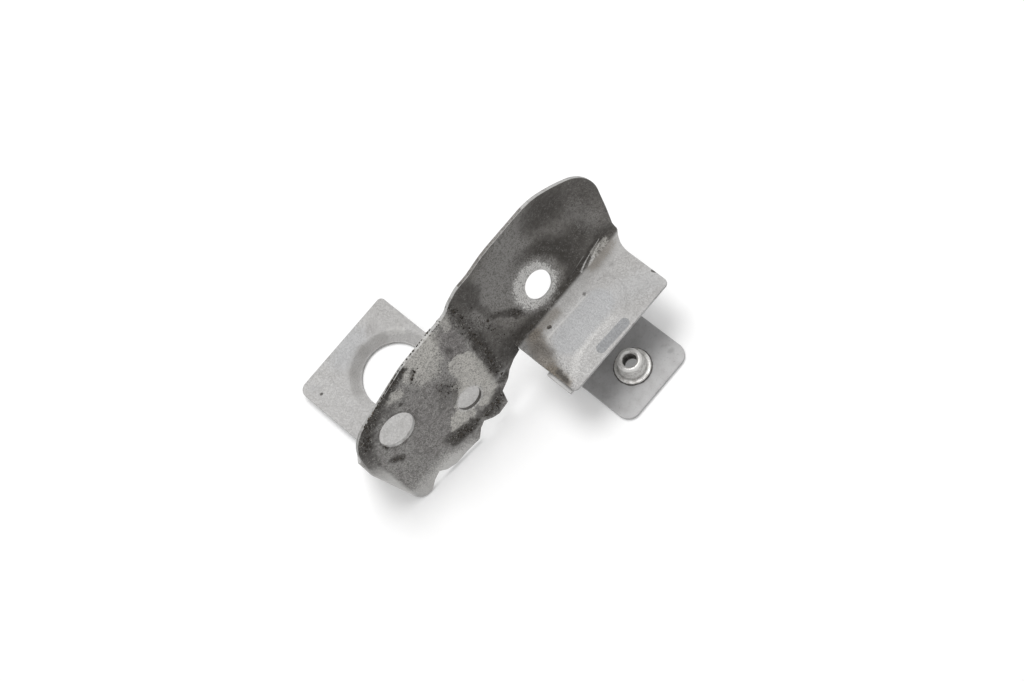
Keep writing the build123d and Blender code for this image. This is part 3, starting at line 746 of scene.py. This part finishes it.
class BRACKET_OT_nut(bpy.types.Operator):
    """Spins the weld nut and cuts the thread into its bore"""

    bl_idname = "bracket.nut"
    bl_label = "Make the weld nut"

    def execute(self, context):
        looks = context.scene.bracket_finish
        sizes = context.scene.bracket_nut
        bore, pitch, depth = (value / MM for value in (sizes.bore, sizes.pitch, sizes.depth))
        low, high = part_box("weld_nut")
        axis = Vector(((low.x + high.x) / 2, (low.y + high.y) / 2, 0.0))
        profile = nut_profile(bore, pitch)
        mesh = bpy.data.meshes.new("weld_nut_body")
        lift = Vector((0.0, 0.0, low.z))
        points = [axis + Vector((radius, 0.0, height)) * MM + lift for radius, height in profile]
        count = len(points)
        mesh.from_pydata(points, [(i, (i + 1) % count) for i in range(count)], [])
        piece = bpy.data.objects.new("weld_nut_body", mesh)
        context.scene.collection.objects.link(piece)
        alone(piece)
        bpy.ops.object.mode_set(mode="EDIT")
        bpy.ops.mesh.select_all(action="SELECT")
        bpy.ops.mesh.spin(steps=NUT_TURNS, angle=2 * math.pi, center=axis, axis=(0, 0, 1))
        bpy.ops.mesh.select_all(action="SELECT")
        bpy.ops.mesh.remove_doubles(threshold=WELD_GAP)
        bpy.ops.mesh.normals_make_consistent(inside=False)
        bpy.ops.object.mode_set(mode="OBJECT")
        first, last = NUT_LEAD + THREAD_CLEAR, NUT_H - NUT_LEAD - THREAD_CLEAR
        for vertex in mesh.vertices:
            out = Vector((vertex.co.x, vertex.co.y, 0.0)) - axis
            height = (vertex.co.z - low.z) / MM
            if out.length > (bore + 0.01) * MM:
                continue
            turn = height / pitch - math.atan2(out.y, out.x) / (2 * math.pi)
            wave = 1 - abs(2 * (turn % 1.0) - 1)
            fade = max(0.0, min(1.0, (height - first) / THREAD_FADE, (last - height) / THREAD_FADE))
            vertex.co += out.normalized() * depth * wave * fade * MM
        bpy.ops.object.shade_smooth_by_angle(angle=math.radians(NUT_SMOOTH_UNDER))
        piece.data.materials.append(nut_finish(looks, NUT_AT))
        carry(piece, "plated_steel", "weld_nut")
        return {"FINISHED"}


# Crumbs cling along these lines on the strap: start, end, half width and number.
CRUMB_ROWS = (
    ((-30.6, 29.8), (-39.5, 27.4), 1.7, 130),
    ((-32.5, 31.0), (-39.5, 28.9), 0.6, 110),
    ((-39.5, 27.6), (-47.5, 23.8), 1.8, 80),
    ((-47.5, 23.8), (-53.4, 15.5), 1.5, 56),
    ((-11.8, 32.3), (-29.0, 30.5), 0.6, 36),
    ((-9.0, 33.4), (-9.6, 20.0), 1.5, 44),
    ((-9.5, 20.4), (-10.5, 4.7), 1.5, 70),
    ((-10.5, 4.7), (-11.9, -4.4), 1.7, 34),
    ((-23.8, 7.3), (-26.8, 12.0), 2.2, 26),
    ((-27.8, 25.5), (-30.8, 23.2), 0.9, 12),
    ((-28.4, -10.3), (-33.4, -8.9), 2.4, 56),
    ((-15.9, -9.8), (-20.4, -12.4), 2.0, 40),
    ((-20.4, -11.4), (-26.8, -10.6), 1.2, 26),
    ((-50.5, 4.4), (-47.8, 2.3), 0.7, 10),
    ((-49.0, 11.1), (-48.6, 10.3), 0.4, 4),
    ((-3.0, -1.0), (20.0, -0.6), 1.0, 40),
    ((3.0, 9.6), (5.2, 7.0), 0.8, 10),
    ((-5.0, 24.0), (-4.0, 4.0), 3.2, 30),
)
WALL_TURN = 0.06  # how far the near half leans back for each millimetre along it
OVERHANG = 1.3  # crumbs cling to the cut edge as far out as this
DROP_FROM = 8.0  # crumbs fall onto the strap from this far off it
DROP_RUN = 14.0  # and land within this distance
STEEPEST = 0.3  # cosine of the steepest slope that they land on
FOLD_CLEAR = 0.8  # none lands this far off the strap, which is the flange
TOP_CLEAR = 0.6  # nor this close to the bracket's top
LARGE_SHARE = 0.12  # share of the crumbs that are larger than usual
LARGE_BY = 1.6
SQUASH = 0.6  # thickness of a crumb against its width
STAND_OFF = 0.15  # how far its middle stands off the sheet, against its radius
CRUMB_SMOOTH_UNDER = 50  # degrees


class BRACKET_OT_grit(bpy.types.Operator):
    """Scatters crumbs of road dirt where it has caked onto the strap"""

    bl_idname = "bracket.grit"
    bl_label = "Scatter the grit"

    def execute(self, context):
        looks = context.scene.bracket_finish
        dirt = context.scene.bracket_dirt
        draw = random.Random(dirt.seed)
        sheet = bpy.data.objects["bracket_sheet"]
        skin = BVHTree.FromObject(sheet, context.evaluated_depsgraph_get())
        bpy.ops.object.select_all(action="DESELECT")
        bpy.ops.mesh.primitive_ico_sphere_add(subdivisions=1, radius=1.0)
        crumb = context.object
        corners = [vertex.co.copy() for vertex in crumb.data.vertices]
        sides = [tuple(face.vertices) for face in crumb.data.polygons]
        points, faces = [], []
        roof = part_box("bracket")[1].z - TOP_CLEAR * MM
        for start, end, spread, number in CRUMB_ROWS:
            for _ in range(round(number * dirt.share)):
                share = draw.random()
                u = start[0] + (end[0] - start[0]) * share + draw.gauss(0.0, spread / 2)
                s = start[1] + (end[1] - start[1]) * share + draw.gauss(0.0, spread / 2)
                size = dirt.crumb * draw.uniform(0.45, 1.0)
                size *= LARGE_BY if draw.random() < LARGE_SHARE else 1.0
                turn = Euler([draw.uniform(0.0, 6.3) for _ in range(3)]).to_matrix()
                stretch = [draw.uniform(0.6, 1.25) for _ in range(3)]
                bumps = [draw.uniform(0.75, 1.15) for _ in corners]
                above = wall_place(u, s, DROP_FROM)
                hit, normal, _, _ = skin.ray_cast(above, -WALL_OUT, DROP_RUN * MM)
                if hit is None or normal.dot(WALL_OUT) < STEEPEST:
                    hit, normal, _, gap = skin.find_nearest(wall_place(u, s, WALL_TURN * u))
                    if gap > OVERHANG * MM:
                        continue
                beside_fold = (hit - wall_place(u, s)).dot(WALL_OUT) > FOLD_CLEAR * MM
                if beside_fold or hit.z > roof:
                    continue
                flatten = Matrix.Scale(SQUASH, 3, normal)
                first = len(points)
                for corner, bump in zip(corners, bumps):
                    shaped = Vector([part * wide for part, wide in zip(corner, stretch)]) * bump
                    points.append(hit + flatten @ (turn @ shaped) * size + normal * size * STAND_OFF)
                faces += [tuple(first + i for i in side) for side in sides]
        crumb.data.clear_geometry()
        crumb.data.from_pydata(points, [], faces)
        crumb.name = crumb.data.name = "caked_grit"
        crumb.data.materials.append(grit_finish(looks))
        alone(crumb)
        bpy.ops.object.shade_smooth_by_angle(angle=math.radians(CRUMB_SMOOTH_UNDER))
        carry(crumb, "dirty_steel")
        return {"FINISHED"}


# ---- Stage ----
VIEW_RIGHT = Vector((0.729, 0.646, -0.225))
VIEW_BACK = Vector((0.373, -0.100, 0.922))
VIEW_DISTANCE = 567.2
KEY_FROM = Vector((-0.30, 0.16, 0.94))
KEY_DISTANCE = 0.8
WHITE = (1.0, 1.0, 1.0, 1.0)
FLOOR_PALE = (0.82, 0.82, 0.82, 1.0)
GLOW_BASE = 0.2  # what the camera sees added to the floor round the bracket
GLOW_MORE = 0.4  # and added to that far from it
GLOW_FROM = 0.25  # metres from the middle
GLOW_TO = 1.0


def aim(thing, right, back):
    """Turns a camera or lamp so that it looks against the back direction."""
    back = back.normalized()
    right = (right - back * right.dot(back)).normalized()
    thing.matrix_world = Matrix.Translation(thing.location) @ Matrix((
        (right.x, back.cross(right).x, back.x),
        (right.y, back.cross(right).y, back.y),
        (right.z, back.cross(right).z, back.z),
    )).to_4x4()


def floor_finish():
    """A pale floor that looks white to the camera and keeps a soft shadow."""
    g = Graph("studio floor")
    plain = g.node("ShaderNodeBsdfDiffuse", {"Color": FLOOR_PALE}).outputs[0]
    own = g.node("ShaderNodeTexCoord").outputs["Object"]
    far = g.ramp(g.vector("LENGTH", own), GLOW_FROM, GLOW_TO)
    level = g.math("MULTIPLY_ADD", far, GLOW_MORE, GLOW_BASE)
    glow = g.node("ShaderNodeEmission", {"Color": WHITE, "Strength": level}).outputs[0]
    seen = g.node("ShaderNodeAddShader", {0: plain, 1: glow}).outputs[0]
    path = g.node("ShaderNodeLightPath")
    white = g.node("ShaderNodeEmission", {"Color": WHITE, "Strength": 1.0}).outputs[0]
    mirrored = g.math("MAXIMUM", path.outputs["Is Glossy Ray"], path.outputs["Is Transmission Ray"])
    other = g.node("ShaderNodeMixShader", {0: mirrored, 1: plain, 2: white}).outputs[0]
    shown = g.node("ShaderNodeMixShader", {0: path.outputs["Is Camera Ray"], 1: other, 2: seen})
    g.feed(g.output.inputs["Surface"], shown.outputs[0])
    return g.material


def studio_world(strength):
    """Even light from all round, which the camera sees as white."""
    world = bpy.data.worlds.new("studio")
    world.use_nodes = True
    tree = world.node_tree
    tree.nodes.clear()
    path = tree.nodes.new("ShaderNodeLightPath")
    seen = tree.nodes.new("ShaderNodeMath")
    seen.operation = "MAXIMUM"
    through = tree.nodes.new("ShaderNodeMath")
    through.operation = "MAXIMUM"
    level = tree.nodes.new("ShaderNodeMapRange")
    level.inputs["To Min"].default_value = strength
    level.inputs["To Max"].default_value = 1.0
    light = tree.nodes.new("ShaderNodeBackground")
    light.inputs["Color"].default_value = WHITE
    output = tree.nodes.new("ShaderNodeOutputWorld")
    join = tree.links.new
    join(path.outputs["Is Camera Ray"], seen.inputs[0])
    join(path.outputs["Is Glossy Ray"], through.inputs[0])
    join(path.outputs["Is Transmission Ray"], through.inputs[1])
    join(through.outputs[0], seen.inputs[1])
    join(seen.outputs[0], level.inputs["Value"])
    join(level.outputs[0], light.inputs["Strength"])
    join(light.outputs[0], output.inputs["Surface"])
    return world


class BRACKET_OT_stage(bpy.types.Operator):
    """Sets the floor, the soft light and the camera"""

    bl_idname = "bracket.stage"
    bl_label = "Set the stage"

    def execute(self, context):
        stage = context.scene.bracket_stage
        bpy.ops.object.select_all(action="DESELECT")
        bpy.ops.mesh.primitive_plane_add(size=stage.floor)
        floor = context.object
        floor.name = "floor"
        floor.data.materials.append(floor_finish())
        context.scene.world = studio_world(stage.sky)

        target = place(0, 0, 0)
        key = bpy.data.objects.new("key lamp", bpy.data.lights.new("key lamp", "AREA"))
        key.data.size = stage.lamp
        key.data.energy = stage.key
        key.location = target + KEY_FROM.normalized() * KEY_DISTANCE
        context.scene.collection.objects.link(key)
        aim(key, VIEW_RIGHT, KEY_FROM)

        camera = bpy.data.objects.new("camera", bpy.data.cameras.new("camera"))
        camera.data.lens = stage.lens
        camera.location = target + VIEW_BACK.normalized() * VIEW_DISTANCE * MM
        context.scene.collection.objects.link(camera)
        aim(camera, VIEW_RIGHT, VIEW_BACK)
        context.scene.camera = camera
        context.scene.view_settings.view_transform = "Standard"
        return {"FINISHED"}


class BRACKET_PT_dresser(bpy.types.Panel):
    """Lists the steps that dress the bracket, with their sizes and colours"""

    bl_label = "Bracket"
    bl_idname = "BRACKET_PT_dresser"
    bl_space_type = "VIEW_3D"
    bl_region_type = "UI"
    bl_category = "Bracket"

    def draw(self, context):
        for operator in OPERATORS:
            self.layout.operator(operator.bl_idname)
        for name in SETTINGS:
            group = getattr(context.scene, name)
            for key in group.bl_rna.properties.keys():
                if key not in ("rna_type", "name"):
                    self.layout.prop(group, key)


OPERATORS = (BRACKET_OT_sheet, BRACKET_OT_foot, BRACKET_OT_nut, BRACKET_OT_grit, BRACKET_OT_stage)
SETTINGS = {
    "bracket_finish": BracketFinish,
    "bracket_dirt": BracketDirt,
    "bracket_nut": BracketNut,
    "bracket_stage": BracketStage,
}
CLASSES = (*SETTINGS.values(), *OPERATORS, BRACKET_PT_dresser)


def register():
    """Adds the add-on's classes and settings."""
    for item in CLASSES:
        bpy.utils.register_class(item)
    for name, group in SETTINGS.items():
        setattr(bpy.types.Scene, name, PointerProperty(type=group))


def unregister():
    """Takes the add-on's classes and settings away."""
    for name in SETTINGS:
        delattr(bpy.types.Scene, name)
    for item in reversed(CLASSES):
        bpy.utils.unregister_class(item)


def main():
    """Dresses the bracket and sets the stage."""
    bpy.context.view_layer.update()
    register()
    bpy.ops.bracket.sheet()
    bpy.ops.bracket.foot()
    bpy.ops.bracket.nut()
    bpy.ops.bracket.grit()
    bpy.ops.bracket.stage()


if __name__ == "__main__":
    main()
